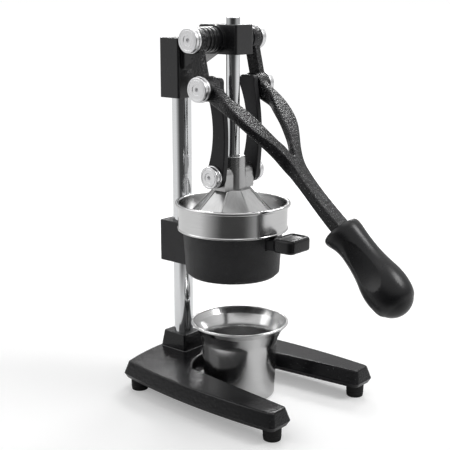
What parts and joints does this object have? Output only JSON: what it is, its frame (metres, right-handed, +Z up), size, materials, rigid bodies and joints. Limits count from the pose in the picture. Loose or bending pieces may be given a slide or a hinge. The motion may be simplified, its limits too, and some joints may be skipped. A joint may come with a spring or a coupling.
{
  "type": "citrus press",
  "caption": "Free-standing lever press: a forked hand lever drives a faceted bell down a column-mounted rod onto a strainer bowl above a loose collecting cup.",
  "frame": {"origin": "on the floor under the middle of the whole outline", "axes": "+Z up along the column and rod, +X forward the way the lever points, +Y to the left"},
  "size_m": [0.3321, 0.191, 0.4185],
  "materials": {
    "gloss_casting": "gloss black enamel over cast iron",
    "satin_casting": "satin black enamel",
    "textured_casting": "fine textured black enamel",
    "hammer_paint": "black hammered enamel",
    "link_paint": "smooth matte black",
    "spacer_black": "black oxide",
    "chrome_tube": "polished",
    "pivot_steel": "turned and polished",
    "cast_alloy": "satin",
    "stainless": "brushed",
    "zinc": "plated",
    "grip_plastic": "smooth satin black",
    "rubber": "matte"
  },
  "bodies": {
    "frame": {"base_casting": "gloss_casting", "rubber_feet": "rubber", "foot_screws": "zinc", "column": "chrome_tube", "column_washer": "zinc", "column_bolt": "zinc", "head_casting": "satin_casting", "head_screw": "zinc", "upper_spacer_bushes": "spacer_black", "upper_pivot_washers": "pivot_steel", "upper_pivot_bolts": "pivot_steel", "holder_casting": "textured_casting", "holder_set_screw": "zinc", "strainer_bowl": "stainless", "strainer_cone": "stainless", "handle_strap": "link_paint", "bowl_handle_grip": "grip_plastic", "handle_screw": "zinc"},
    "lever": {"lever_casting": "hammer_paint", "lever_grip": "grip_plastic", "middle_pivot_washers": "pivot_steel", "middle_pivot_bolts": "pivot_steel"},
    "plunger": {"plunger_rod": "chrome_tube", "plunger_yoke": "cast_alloy", "lower_pivot_washers": "pivot_steel", "lower_pivot_bolts": "pivot_steel", "press_bell": "cast_alloy", "bell_screw": "pivot_steel"},
    "links": {"link_right": "link_paint", "link_left": "link_paint", "link_upper_pins": "pivot_steel"},
    "cup": {"collecting_cup": "stainless"}
  },
  "joints": [
    {"name": "lever_swing", "type": "hinge", "parent": "frame", "child": "lever", "pos_m": [-0.0742, 0, 0.39553], "axis": [0, -1, 0], "range_deg": [0, 80]},
    {"name": "plunger_slide", "type": "slide", "parent": "frame", "child": "plunger", "axis": [0, 0, 1], "range_m": [0, 0.06152]},
    {"name": "link_swing", "type": "hinge", "parent": "plunger", "child": "links", "pos_m": [-0.0612, 0, 0.251], "axis": [0, 1, 0], "range_deg": [0, 24.99]},
    {"name": "cup_slide", "type": "slide", "parent": "frame", "child": "cup", "axis": [1, 0, 0], "range_m": [0, 0.2]}
  ],
  "couplings": [
    {"joint": "plunger_slide", "follows": "lever_swing", "m_per_rad": 0.043703},
    {"joint": "link_swing", "follows": "lever_swing", "ratio": 0.3086}
  ]
}
